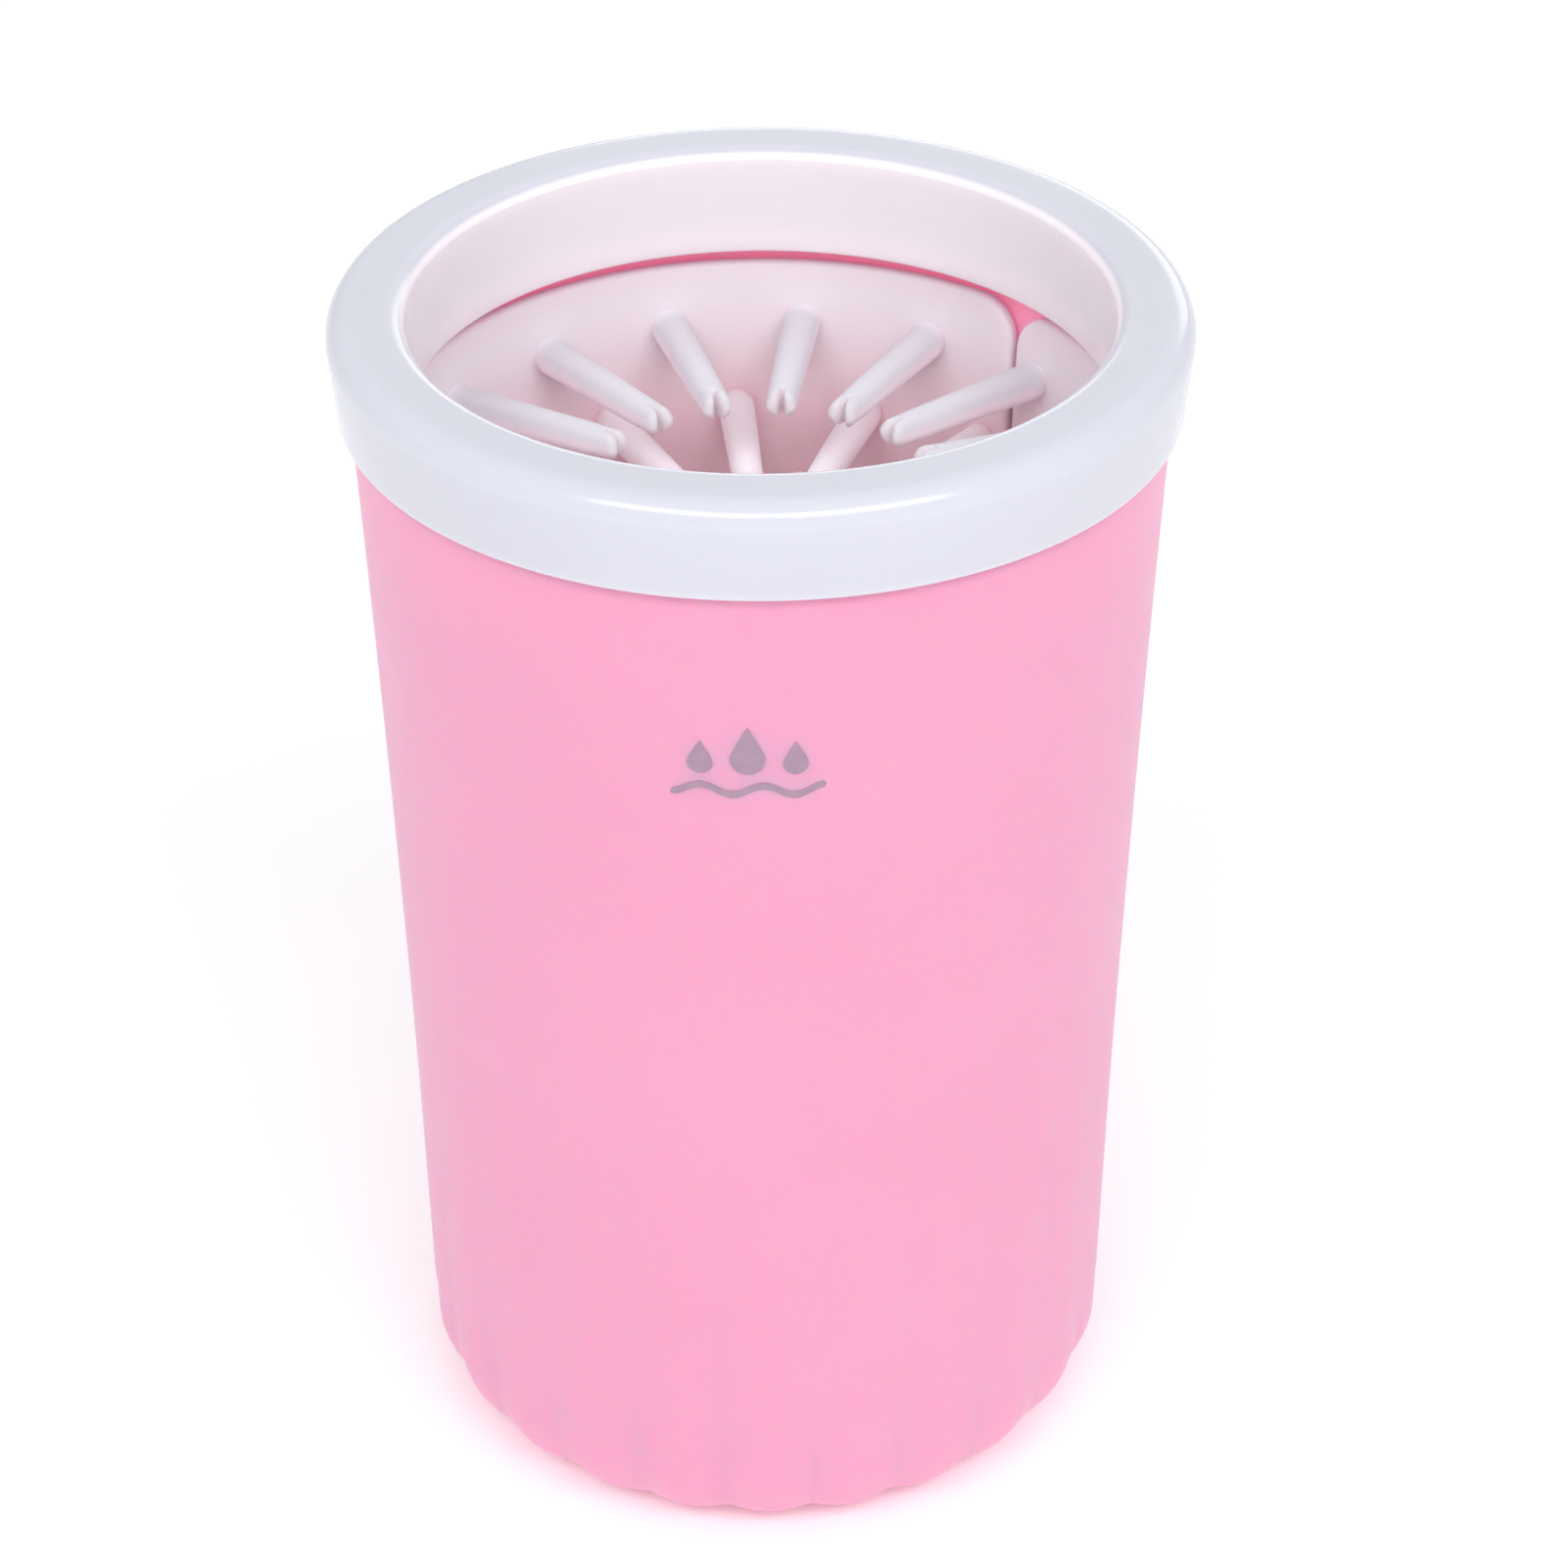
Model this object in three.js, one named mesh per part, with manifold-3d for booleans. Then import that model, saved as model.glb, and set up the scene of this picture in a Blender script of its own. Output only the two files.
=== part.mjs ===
// Paw washer cup: a tapered cup with a fluted foot, a push-on collar with its seal, and a silicone
// brush in two half-round panels whose bristles point at the axis. A panel is one moulding, held here
// as two solids: the stiff sheet at its back, and the soft bristles on the skin that covers the sheet.
// Millimetres, +Z up. The origin is the centre of the foot ring, on the surface the cup stands on.
// The front, where the printed mark goes, faces -Y.
import * as THREE from "three";
import { mergeVertices } from "three/addons/utils/BufferGeometryUtils.js";
import Module from "manifold-3d";

const wasm = await Module();
wasm.setup();

// ---- Driving dimensions ----
const ROUND = 48; // flat sides of every turned surface, two to a flute
const FIT = 0.25; // running gap between parts that slide past each other
const SEAT = 0.3; // gap left where one part rests on another

// Cup
const BASE_RADIUS = 42.95; // outer radius that the wall's curve starts from
const DRAFT = 0.007; // slope of the wall at the foot
const FLARE = 0.000151; // the wall leans out further towards the mouth, per mm
const WALL = 2.2;
const HEEL = 12.4; // radius of the outer corner between wall and foot
const INNER_HEEL = 9.5;
const FLOOR = 3.2; // height of the inside floor
const FOOT_INNER_RADIUS = 25;
const FOOT_RECESS = 0.8;
const SHOULDER_Z = 138.3; // step that the collar's outer skirt comes down to
const LIP_Z = 147.4;
const NECK_RADIUS = 46;
const NECK_BORE_RADIUS = 44.4;
const LIP_CHAMFER = 0.6;
const FLUTES = 24;
const FLUTE_DEPTH = 0.75; // round the heel
const FLUTE_START = 14; // degrees round the heel, from the foot, over which the flutes deepen
const WALL_FLUTE = 0.32; // share of their depth that the flutes keep on the wall,
const WALL_FLUTE_Z = 26; // from here up
const FLUTE_TOP_Z = 85; // the flutes have faded into the plain wall here

// Collar
const COLLAR_RADIUS = 49;
const COLLAR_FOOT_RADIUS = 48.2;
const COLLAR_TOP_Z = 150.2;
const COLLAR_OUTER_ROUND = 2.9;
const COLLAR_INNER_ROUND = 1.9;
const MOUTH_RADIUS = 40.1;
const MOUTH_FOOT_RADIUS = 39.9;
const SKIRT = 1.5; // thickness of the inner skirt
const SKIRT_FOOT_Z = 136.7;
const SEAL_LEDGE = 0.9; // how far the ledge under the seal stands out
const SEAL_LOW_Z = 140.2;
const SEAL_HIGH_Z = 145.2;
const SEAL_LIPS = 2;

// Brush
const SHEET = 0.9; // thickness of a panel's backing sheet
const SHEET_GAP = 0.35; // between sheet and cup wall
const SKIN = 0.6; // thickness of the skin that the bristles stand on
const SHEET_TOP_Z = 134.5;
const SHEET_FOOT_Z = 12;
const SHEET_CORNER = 4;
const CORNER_STEPS = 4;
const SHEET_LEVELS = 6;
const SEAM_GAP = 0.8; // between the two panels
const SEAM_ANGLE = 43.35; // direction of the seam from +X, in degrees
const ROWS = 10;
const TOP_ROW_Z = 126.3;
const ROW_PITCH = 11.4;
const BRISTLES = 8; // in each row of each panel
const BRISTLE_PITCH = 180 / BRISTLES; // in degrees
const ROOT_RADIUS = 2.3;
const TIP_RADIUS = 1.84;
const TIP_CIRCLE = 18.8; // radius of the circle that the bristles end on
const TIP_SLOT = 2.3; // depth of the notch that forks each tip
const BRISTLE_SIDES = 6;

const rad = THREE.MathUtils.degToRad;
const point = (r, z) => new THREE.Vector2(r, z);
const lerp = THREE.MathUtils.lerp;
const smooth = THREE.MathUtils.smoothstep;

// ---- Materials ----
const pinkPlastic = new THREE.MeshStandardMaterial({ color: 0xf8a8c8, roughness: 0.42, metalness: 0 });
const whitePlastic = new THREE.MeshStandardMaterial({ color: 0xeceef5, roughness: 0.16, metalness: 0 });
const silicone = new THREE.MeshStandardMaterial({ color: 0xf3e6ec, roughness: 0.62, metalness: 0 });

// ---- Shape helpers ----

// Points of an arc about (r, z), from one angle to another, in degrees anticlockwise from +r.
function arc(r, z, radius, from, to, steps) {
  return Array.from({ length: steps + 1 }, (_, i) => {
    const a = rad(lerp(from, to, i / steps));
    return point(r + radius * Math.cos(a), z + radius * Math.sin(a));
  });
}

// A profile of (radius, height) points turned about Z. The first side starts at the front, -Y.
function turn(profile) {
  return new THREE.LatheGeometry(profile, ROUND).rotateX(Math.PI / 2);
}

function movePoints(geometry, move) {
  const position = geometry.getAttribute("position");
  const p = new THREE.Vector3();
  for (let i = 0; i < position.count; i++) {
    move(p.fromBufferAttribute(position, i));
    position.setXYZ(i, p.x, p.y, p.z);
  }
  return geometry;
}

function toSolid(geometry) {
  const bare = new THREE.BufferGeometry().setAttribute("position", geometry.getAttribute("position"));
  bare.setIndex(geometry.index);
  const merged = mergeVertices(bare, 1e-4);
  return new wasm.Manifold(
    new wasm.Mesh({
      numProp: 3,
      vertProperties: merged.getAttribute("position").array,
      triVerts: new Uint32Array(merged.index.array),
    }),
  );
}

function toGeometry(solid) {
  const mesh = solid.getMesh();
  return new THREE.BufferGeometry()
    .setAttribute("position", new THREE.BufferAttribute(mesh.vertProperties, 3))
    .setIndex(new THREE.BufferAttribute(mesh.triVerts, 1));
}

// ---- Cup ----
const wallRadius = (z) => BASE_RADIUS + DRAFT * z + FLARE * z * z;
const boreRadius = (z) => Math.min(wallRadius(z) - WALL, NECK_BORE_RADIUS);
const heelCentre = wallRadius(HEEL) - HEEL;

// Outer radius at any height below the shoulder, the rounded heel included.
function outerRadius(z) {
  const below = Math.max(HEEL - z, 0);
  return below ? heelCentre + Math.sqrt(HEEL * HEEL - below * below) : wallRadius(z);
}

// Depth of the flutes at a height where the surface faces down by tilt, as a share of their full depth.
function fluteShare(z, tilt) {
  const onHeel = smooth(90 - THREE.MathUtils.radToDeg(tilt), 0, FLUTE_START);
  const onWall = lerp(1, WALL_FLUTE, smooth(z, HEEL / 2, WALL_FLUTE_Z));
  return onHeel * onWall * (1 - smooth(z, WALL_FLUTE_Z, FLUTE_TOP_Z));
}

// Cuts a flute's valley into a point on the outside, square to the surface there.
function cutFlute(p, r) {
  const flute = (Math.atan2(p.y, p.x) / (2 * Math.PI)) * FLUTES;
  const across = 2 * Math.abs(flute - Math.round(flute)); // 0 on a crest, 1 in a valley
  const tilt = Math.asin(Math.max(HEEL - p.z, 0) / HEEL);
  const cut = FLUTE_DEPTH * fluteShare(p.z, tilt) * across ** 2;
  const scale = 1 - (cut * Math.cos(tilt)) / r;
  p.set(p.x * scale, p.y * scale, p.z + cut * Math.sin(tilt));
}

function cupBody() {
  const innerHeelCentre = boreRadius(FLOOR + INNER_HEEL) - INNER_HEEL;
  const outerLevels = [24, 40, 60, FLUTE_TOP_Z, 112, SHOULDER_Z];
  const innerLevels = [SHOULDER_Z - 3, 100, 60];
  const profile = [
    point(0, FOOT_RECESS),
    point(FOOT_INNER_RADIUS, FOOT_RECESS),
    point(FOOT_INNER_RADIUS + FOOT_RECESS, 0),
    ...arc(heelCentre, HEEL, HEEL, -90, 0, 5),
    ...outerLevels.map((z) => point(wallRadius(z), z)),
    point(NECK_RADIUS, SHOULDER_Z),
    point(NECK_RADIUS, LIP_Z - LIP_CHAMFER),
    point(NECK_RADIUS - LIP_CHAMFER, LIP_Z),
    point(NECK_BORE_RADIUS + LIP_CHAMFER, LIP_Z),
    point(NECK_BORE_RADIUS, LIP_Z - LIP_CHAMFER),
    ...innerLevels.map((z) => point(boreRadius(z), z)),
    ...arc(innerHeelCentre, FLOOR + INNER_HEEL, INNER_HEEL, 0, -90, 4),
    point(0, FLOOR),
  ];
  const onOutside = (r, z) => z > 0.01 && z < SHOULDER_Z && r > outerRadius(z) - WALL / 4;
  return movePoints(turn(profile), (p) => {
    const r = Math.hypot(p.x, p.y);
    if (onOutside(r, p.z)) cutFlute(p, r);
  });
}

// ---- Collar and seal ----
const skirtRadius = MOUTH_FOOT_RADIUS + SKIRT; // outside of the inner skirt
const channelRadius = NECK_RADIUS + FIT; // inside of the outer skirt
const channelTop = LIP_Z + SEAT;
const ledgeTop = SEAL_LOW_Z - SEAT;

function collar() {
  const foot = SHOULDER_Z + SEAT;
  const outerCentre = [COLLAR_RADIUS - COLLAR_OUTER_ROUND, COLLAR_TOP_Z - COLLAR_OUTER_ROUND];
  const innerCentre = [MOUTH_RADIUS + COLLAR_INNER_ROUND, COLLAR_TOP_Z - COLLAR_INNER_ROUND];
  return turn([
    point(channelRadius, foot),
    point(COLLAR_FOOT_RADIUS - 0.3, foot),
    point(COLLAR_FOOT_RADIUS, foot + 0.3),
    ...arc(...outerCentre, COLLAR_OUTER_ROUND, 0, 90, 4),
    ...arc(...innerCentre, COLLAR_INNER_ROUND, 90, 180, 3),
    point(MOUTH_FOOT_RADIUS, SKIRT_FOOT_Z + 0.5),
    point(MOUTH_FOOT_RADIUS + 0.5, SKIRT_FOOT_Z),
    point(skirtRadius, SKIRT_FOOT_Z),
    point(skirtRadius + SEAL_LEDGE, SKIRT_FOOT_Z + SEAL_LEDGE),
    point(skirtRadius + SEAL_LEDGE, ledgeTop),
    point(skirtRadius, ledgeTop),
    point(skirtRadius, channelTop),
    point(channelRadius, channelTop),
    point(channelRadius, foot),
  ]);
}

// A band round the inner skirt with lips that wipe the cup's neck.
function collarSeal() {
  const inner = skirtRadius + FIT;
  const lipTip = NECK_BORE_RADIUS - FIT;
  const band = lerp(inner, lipTip, 0.5);
  const lipPitch = (SEAL_HIGH_Z - SEAL_LOW_Z) / SEAL_LIPS;
  const lips = Array.from({ length: SEAL_LIPS }, (_, i) => {
    const z = SEAL_LOW_Z + i * lipPitch;
    return [point(band, z), point(lipTip, z + lipPitch * 0.5), point(band, z + lipPitch * 0.8)];
  });
  return turn([
    point(inner, SEAL_LOW_Z),
    ...lips.flat(),
    point(band, SEAL_HIGH_Z),
    point(inner, SEAL_HIGH_Z),
    point(inner, SEAL_LOW_Z),
  ]);
}

// ---- Brush panels ----
// A panel is made in its own frame, from angle 0 to 180 degrees, and turned into place afterwards.
const sheetRadius = (z) => boreRadius(z) - SHEET_GAP - SHEET;
const skinRadius = (z) => sheetRadius(z) - SEAT - SKIN;

// Angles of a plate's columns: close together in its rounded corners, and evenly spread between.
function plateAngles(middleColumns) {
  const degreesOf = (length) => THREE.MathUtils.radToDeg(length / sheetRadius(SHEET_TOP_Z));
  const corner = Array.from({ length: CORNER_STEPS }, (_, i) => {
    const into = SHEET_CORNER * (1 - Math.cos(rad((90 * i) / CORNER_STEPS)));
    return degreesOf(SEAM_GAP / 2 + into);
  });
  const step = 180 / middleColumns;
  const between = Array.from({ length: middleColumns - 1 }, (_, i) => (i + 1) * step);
  return [...corner, ...between, ...corner.map((a) => 180 - a).reverse()];
}

// A flat plate bent to the cup's bore. Its columns get shorter towards the upright edges, which
// rounds its corners.
function bentPlate(innerRadius, thickness, middleColumns) {
  const angles = plateAngles(middleColumns);
  const columns = angles.length - 1;
  const plate = new THREE.BoxGeometry(1, 1, 1, columns, SHEET_LEVELS, 1);
  return movePoints(plate, (p) => {
    const angle = angles[Math.round((p.x + 0.5) * columns)];
    const fromEdge = rad(Math.min(angle, 180 - angle)) * sheetRadius(SHEET_TOP_Z) - SEAM_GAP / 2;
    const inCorner = THREE.MathUtils.clamp(SHEET_CORNER - fromEdge, 0, SHEET_CORNER);
    const cut = SHEET_CORNER - Math.sqrt(SHEET_CORNER ** 2 - inCorner ** 2);
    const z = lerp(SHEET_FOOT_Z + cut, SHEET_TOP_Z - cut, p.y + 0.5);
    const r = innerRadius(z) + thickness * (p.z + 0.5);
    p.set(r * Math.cos(rad(angle)), r * Math.sin(rad(angle)), z);
  });
}

// One tapered bristle lying along +X from its tip, forked by a notch that runs up and down.
function bristle(length) {
  const shaft = new THREE.CylinderGeometry(TIP_RADIUS, ROOT_RADIUS, length, BRISTLE_SIDES);
  const inNotch = (p) => p.y > length / 2 - 0.01 && Math.abs(p.x) < 0.01;
  movePoints(shaft, (p) => {
    if (inNotch(p)) p.y -= TIP_SLOT;
  });
  return shaft.rotateZ(Math.PI / 2).rotateX(Math.PI / 2).translate(TIP_CIRCLE + length / 2, 0, 0);
}

// All the bristles of a panel on their skin. Alternate rows are half a pitch apart.
function bristles() {
  let solid = toSolid(bentPlate(skinRadius, SKIN, 4 * BRISTLES));
  for (let row = 0; row < ROWS; row++) {
    const z = TOP_ROW_Z - row * ROW_PITCH;
    const firstAngle = BRISTLE_PITCH * (row % 2 ? 0.25 : 0.75);
    const length = skinRadius(z) + SKIN / 2 - TIP_CIRCLE;
    for (let i = 0; i < BRISTLES; i++) {
      const angle = firstAngle + i * BRISTLE_PITCH;
      solid = solid.add(toSolid(bristle(length).rotateZ(rad(angle)).translate(0, 0, z)));
    }
  }
  return toGeometry(solid);
}

function brushPanel(side, turned) {
  const panel = new THREE.Group();
  panel.rotation.z = rad(turned);
  panel.add(part(`${side}_brush_sheet`, bentPlate(sheetRadius, SHEET, 2 * BRISTLES), silicone));
  panel.add(part(`${side}_bristles`, bristles(), silicone));
  return panel;
}

// ---- Assembly ----
function part(name, geometry, material) {
  const mesh = new THREE.Mesh(geometry, material);
  mesh.name = name;
  return mesh;
}

const pawWasher = new THREE.Group();
pawWasher.add(part("cup_body", cupBody(), pinkPlastic));
pawWasher.add(part("collar", collar(), whitePlastic));
pawWasher.add(part("collar_seal", collarSeal(), silicone));
pawWasher.add(brushPanel("back", SEAM_ANGLE));
pawWasher.add(brushPanel("front", SEAM_ANGLE - 180));

export default pawWasher;
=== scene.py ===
"""Looks of the paw washer cup: a pink satin cup with a fluted foot, a glossy white collar with its seal,
and two half-round silicone brush panels with forked bristles. Everything is in metres, +Z up, front at -Y."""

import math

import bmesh
import bpy
from mathutils import Euler, Matrix, Vector


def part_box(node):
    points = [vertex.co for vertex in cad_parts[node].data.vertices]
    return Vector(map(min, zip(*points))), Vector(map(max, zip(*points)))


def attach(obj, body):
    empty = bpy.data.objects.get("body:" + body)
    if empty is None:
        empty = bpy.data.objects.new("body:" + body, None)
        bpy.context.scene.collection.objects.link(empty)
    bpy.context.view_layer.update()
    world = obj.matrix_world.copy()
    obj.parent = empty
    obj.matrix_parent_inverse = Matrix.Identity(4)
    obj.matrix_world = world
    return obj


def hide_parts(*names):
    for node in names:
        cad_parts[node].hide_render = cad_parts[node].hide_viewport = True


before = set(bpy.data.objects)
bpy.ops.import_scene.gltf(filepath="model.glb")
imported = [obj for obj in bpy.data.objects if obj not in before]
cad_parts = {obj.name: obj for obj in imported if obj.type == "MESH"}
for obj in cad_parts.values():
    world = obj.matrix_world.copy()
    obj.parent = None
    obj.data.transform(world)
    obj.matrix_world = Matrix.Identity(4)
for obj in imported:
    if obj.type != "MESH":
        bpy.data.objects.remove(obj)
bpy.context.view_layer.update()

MM = 0.001
CLEARANCE = 0.3 * MM  # between pieces that sit against each other

# ---- What the frame gives ----
cup_low, cup_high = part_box("cup_body")
collar_low, collar_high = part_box("collar")
seal_low, seal_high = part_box("collar_seal")
panel_low, panel_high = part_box("back_brush_sheet")
FOOT_Z = cup_low.z
LIP_Z = cup_high.z
COLLAR_RADIUS = collar_high.x
COLLAR_TOP_Z = collar_high.z
SKIRT_FOOT_Z = collar_low.z
SHEET_FOOT_Z = panel_low.z
SHEET_TOP_Z = panel_high.z - CLEARANCE

# ---- Cup ----
BASE_RADIUS = 42.95 * MM
DRAFT = 0.007
FLARE = 0.000151 / MM  # the wall leans out further towards the mouth
WALL = 2.2 * MM
HEEL = 12.4 * MM
INNER_HEEL = 9.5 * MM
FLOOR_Z = 3.2 * MM
FOOT_INNER_RADIUS = 25 * MM
FOOT_RECESS = 0.8 * MM
FOOT_EDGE = 0.4 * MM  # width of the recess's soft edge
SHOULDER_Z = 138.3 * MM
NECK_RADIUS = 46 * MM
NECK_BORE_RADIUS = 44.4 * MM
LIP_ROUND = 0.6 * MM
LIP_HEIGHT = 3 * MM  # the lip's straight inner side, over which the bore keeps one radius
FLUTES = 24
FLUTE_DEPTH = 0.75 * MM
FLUTE_START = math.radians(14)  # how far round the heel from the foot the flutes reach their depth
WALL_FLUTE = 0.32  # share of their depth that the flutes keep on the wall,
WALL_FLUTE_Z = 26 * MM  # from here up
FLUTE_TOP_Z = 85 * MM
VALLEY = 0.1  # how soft the bottom of a flute's valley is, as a share of half a flute
CUP_STEPS = FLUTES * 16
WALL_STEPS = 48
BORE_STEPS = 30
HEEL_STEPS = 24
INNER_HEEL_STEPS = 10
EDGE_STEPS = 4
LIP_STEPS = 5

# ---- Collar and seal ----
COLLAR_FOOT_RADIUS = 48.2 * MM
COLLAR_OUTER_ROUND = 2.9 * MM
COLLAR_INNER_ROUND = 1.9 * MM
CREASE = 0.06 * MM  # parting line round the mouth, under its rounded edge
COLLAR_FOOT_Z = SHOULDER_Z + CLEARANCE
MOUTH_RADIUS = 40.1 * MM
MOUTH_FOOT_RADIUS = 39.9 * MM
SKIRT = 1.5 * MM
SEAL_LEDGE = 0.9 * MM
FIT_GAP = 0.25 * MM  # between the neck and what is pushed over or into it
CHANNEL_RADIUS = NECK_RADIUS + FIT_GAP
CHANNEL_TOP_Z = LIP_Z + CLEARANCE
EDGE_ROUND = 0.35 * MM
ROUND_STEPS = 256
OUTER_ROUND_STEPS = 14
INNER_ROUND_STEPS = 12
INNER_ROUND_END = 168  # degrees round the mouth's edge to where its wall begins,
INNER_ROUND_REACH = 0.98  # and how far in that is, as a share of the rounding
TOP_STEPS = 4
MOUTH_STEPS = 6
SEAL_LIPS = 2
SEAL_TIP_ROUND = 0.12  # these are shares of a seal lip's height: the rounding of its tip,
SEAL_TIP_MIDDLE = 0.5  # where that tip is,
SEAL_LIP_TOP = 0.8  # and where the lip ends
SEAL_TIP_STEPS = 5

# ---- Brush ----
SHEET = 1.8 * MM
SHEET_GAP = 0.35 * MM
SHEET_CORNER = 5.2 * MM
SHEET_EDGE = 0.7 * MM  # rounding of the sheet's edges
SEAM_GAP = 0.8 * MM
SHEET_STEP = 1.5 * MM  # the sheet's mesh away from its edges, across
SHEET_LEVEL = 3 * MM  # and up
SEAM_ANGLE = math.radians(43.35)
ROWS = 10
TOP_ROW_Z = 126.3 * MM
ROW_PITCH = 11.4 * MM
BRISTLES = 8
BRISTLE_PITCH = math.pi / BRISTLES
ROOT_RADIUS = 2.3 * MM
ROOT_FLARE = 0.14 * MM  # how much a root widens where it meets the sheet
ROOT_FLARE_LENGTH = 0.6 * MM
ROOT_DEPTH = 0.6  # how far a bristle reaches into the sheet, as a share of its thickness
TIP_RADIUS = 1.84 * MM
TIP_CIRCLE = 18.8 * MM
TIP_STEP = 3.5 * MM  # length of the slightly slimmer end that holds the fork
TIP_STEP_DEPTH = 0.05 * MM
TIP_STEP_LENGTH = 0.12 * MM
SLOT_DEPTH = 2.3 * MM
SLOT_FOOT = 0.17 * MM  # half the fork's opening at its bottom
SLOT_MOUTH = 0.58 * MM  # and at the tips
SLOT_END_ROUND = 0.3 * MM
TINE_INSET = 0.01 * MM  # keeps a tine's skin inside the shaft's
TINE_ROOTS = (1.1 * MM, 0.3 * MM, 0)  # how far a tine reaches into the shaft, in three rings
TINE_EDGE = 0.42 * MM  # rounding of a tine's long edges
TINE_ROUND = 0.8 * MM  # length over which a tine's sides close at its tip
TINE_NOSE = 1.2 * MM  # length over which its top and underside close
BRISTLE_STEPS = 28
HALVINGS = 24  # precision of a tine's outline

# ---- Printed mark ----
MARK_Z = 113.6 * MM
MARK_ANGLE = math.radians(-2.5)  # from the front, towards +X
INK = 0.04 * MM
INK_LEVELS = 4
INK_EDGE = 0.02 * MM  # half the least height of the wave's stroke, at its ends
WAVE_WIDTH = 17 * MM
WAVES = 2.5
WAVE_HEIGHT = 1.2 * MM
WAVE_STROKE = 0.85 * MM
WAVE_STEPS = 96
DROP_Z = 2.1 * MM  # the drops' lowest point, above the wave
DROP_STEPS = 24
DROP_END = 0.995  # a drop's sides stop at this share of its radius
DROPS = {  # place from the middle, radius, height of the apex above the drop's centre
    "left": (-5.2 * MM, 1.35 * MM, 2.9 * MM),
    "middle": (0, 1.9 * MM, 4.2 * MM),
    "right": (5.2 * MM, 1.35 * MM, 2.9 * MM),
}

# ---- Colours ----
PINK = (0.785, 0.32, 0.477), (0.8, 0.336, 0.496)
# Painted light: the bore near the mouth is paler than the rest of the cup.
PINK_PAINTED_LIGHT_AT_MOUTH = (0.98, 0.46, 0.62)
# Painted light: a faint pink glow on the bore near the mouth, for light through the wall.
PINK_GLOW = (1, 0.27, 0.47)
COLLAR_WHITE = (0.59, 0.595, 0.655), (0.605, 0.61, 0.67)
# Painted light: the collar's inner wall is paler than its outside.
COLLAR_MOUTH_PAINTED_LIGHT = (0.95, 0.88, 0.93)
BRISTLE = (0.60, 0.60, 0.64)
# Painted light: the bristle rows below the top one are paler.
BRISTLE_PAINTED_LIGHT_BELOW = (0.83, 0.79, 0.82)  # rows below the top one
# Painted light: the bristles' undersides are paler.
BRISTLE_UNDERSIDE_PAINTED_LIGHT = (0.93, 0.85, 0.89)
SHEET_RIM = (0.845, 0.82, 0.865)
# Painted shade and painted pink light: the sheet's inner side is pinker deeper down.
SHEET_DEEP_PAINTED_SHADE = (0.995, 0.51, 0.565)
SEAL_GREY = (0.8, 0.76, 0.78), (0.83, 0.79, 0.81)
INK_GREY = (0.31, 0.20, 0.28), (0.35, 0.23, 0.31)
FLOOR_WHITE = (0.9, 0.9, 0.9), (0.92, 0.92, 0.92)
SKY = (0.97, 0.98, 1)
BLACK = (0, 0, 0)

# ---- Where the tones, painted light and painted shade change, each from the first value to the second ----
# The bore's painted light: where its paler tone and its glow lie.
BORE_PAINTED_LIGHT_RADII = (NECK_RADIUS - 0.8 * MM, NECK_BORE_RADIUS + 0.3 * MM)
BORE_PAINTED_LIGHT_HEIGHTS = (105 * MM, LIP_Z - 30 * MM)
BORE_GLOW_HEIGHTS = (122 * MM, SHEET_TOP_Z)
BORE_GLOW = 0.2
# Painted light inside the collar's mouth.
COLLAR_PAINTED_LIGHT_RADII = (MOUTH_RADIUS + 0.7 * MM, MOUTH_RADIUS + 0.15 * MM)
# Painted shade and pink light on the sheet, from the first height down to the second.
SHEET_PAINTED_SHADE_HEIGHTS = (132 * MM, 104 * MM)
SHEET_TONE_BAND = 2.6 * MM  # over this much of a bristle's root the sheet's tone fades out
# Painted light on the bristle rows below the top one.
BRISTLE_PAINTED_LIGHT_HEIGHTS = (TOP_ROW_Z, TOP_ROW_Z - ROW_PITCH)
# Painted light on surfaces that face down.
UNDERSIDE_PAINTED_LIGHT_NORMALS = (0.6, -0.4)  # upright part of the surface's normal

# ---- Stage ----
FLOOR_SIZE = 6
FLOOR_GAP = 0.05 * MM
FLOOR_GLOW = 0.1
LIGHT_DISTANCE = 2
LIGHT_SIZE = (1.35, 0.6)
LIGHT_AIM = 0.6  # the lights aim at this share of the cup's height
SENSOR = 36
LENS = 96.7
CAMERA_PLACE = (-2.9 * MM, -427.9 * MM, 360.5 * MM)
CAMERA_DOWN = math.radians(32.77)
CAMERA_RIGHT = math.radians(0.72)
CAMERA_ROLL = math.radians(-0.13)


# ---- Shape helpers ----
def lerp(a, b, t):
    return a + (b - a) * t


def smooth(x, low, high):
    t = min(max((x - low) / (high - low), 0), 1)
    return t * t * (3 - 2 * t)


def arc(r, z, radius, start, end, steps):
    """Points of an arc about (r, z), angles in degrees anticlockwise from +r."""
    angles = [math.radians(lerp(start, end, i / steps)) for i in range(steps + 1)]
    return [(r + radius * math.cos(a), z + radius * math.sin(a)) for a in angles]


def line(start, end, steps):
    """Points after start, up to and including end."""
    return [tuple(lerp(a, b, i / steps) for a, b in zip(start, end)) for i in range(1, steps + 1)]


def heights(start, end, steps):
    return [z for _, z in line((0, start), (0, end), steps)]


def make_object(name, mesh_data):
    """A new object from a bmesh, which is freed."""
    mesh = bpy.data.meshes.new(name)
    bmesh.ops.recalc_face_normals(mesh_data, faces=mesh_data.faces)
    mesh_data.to_mesh(mesh)
    mesh_data.free()
    piece = bpy.data.objects.new(name, mesh)
    bpy.context.scene.collection.objects.link(piece)
    return piece


def shade_smooth(piece, sharp_degrees=32):
    piece.data.shade_smooth()
    piece.data.set_sharp_from_angle(angle=math.radians(sharp_degrees))


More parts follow.
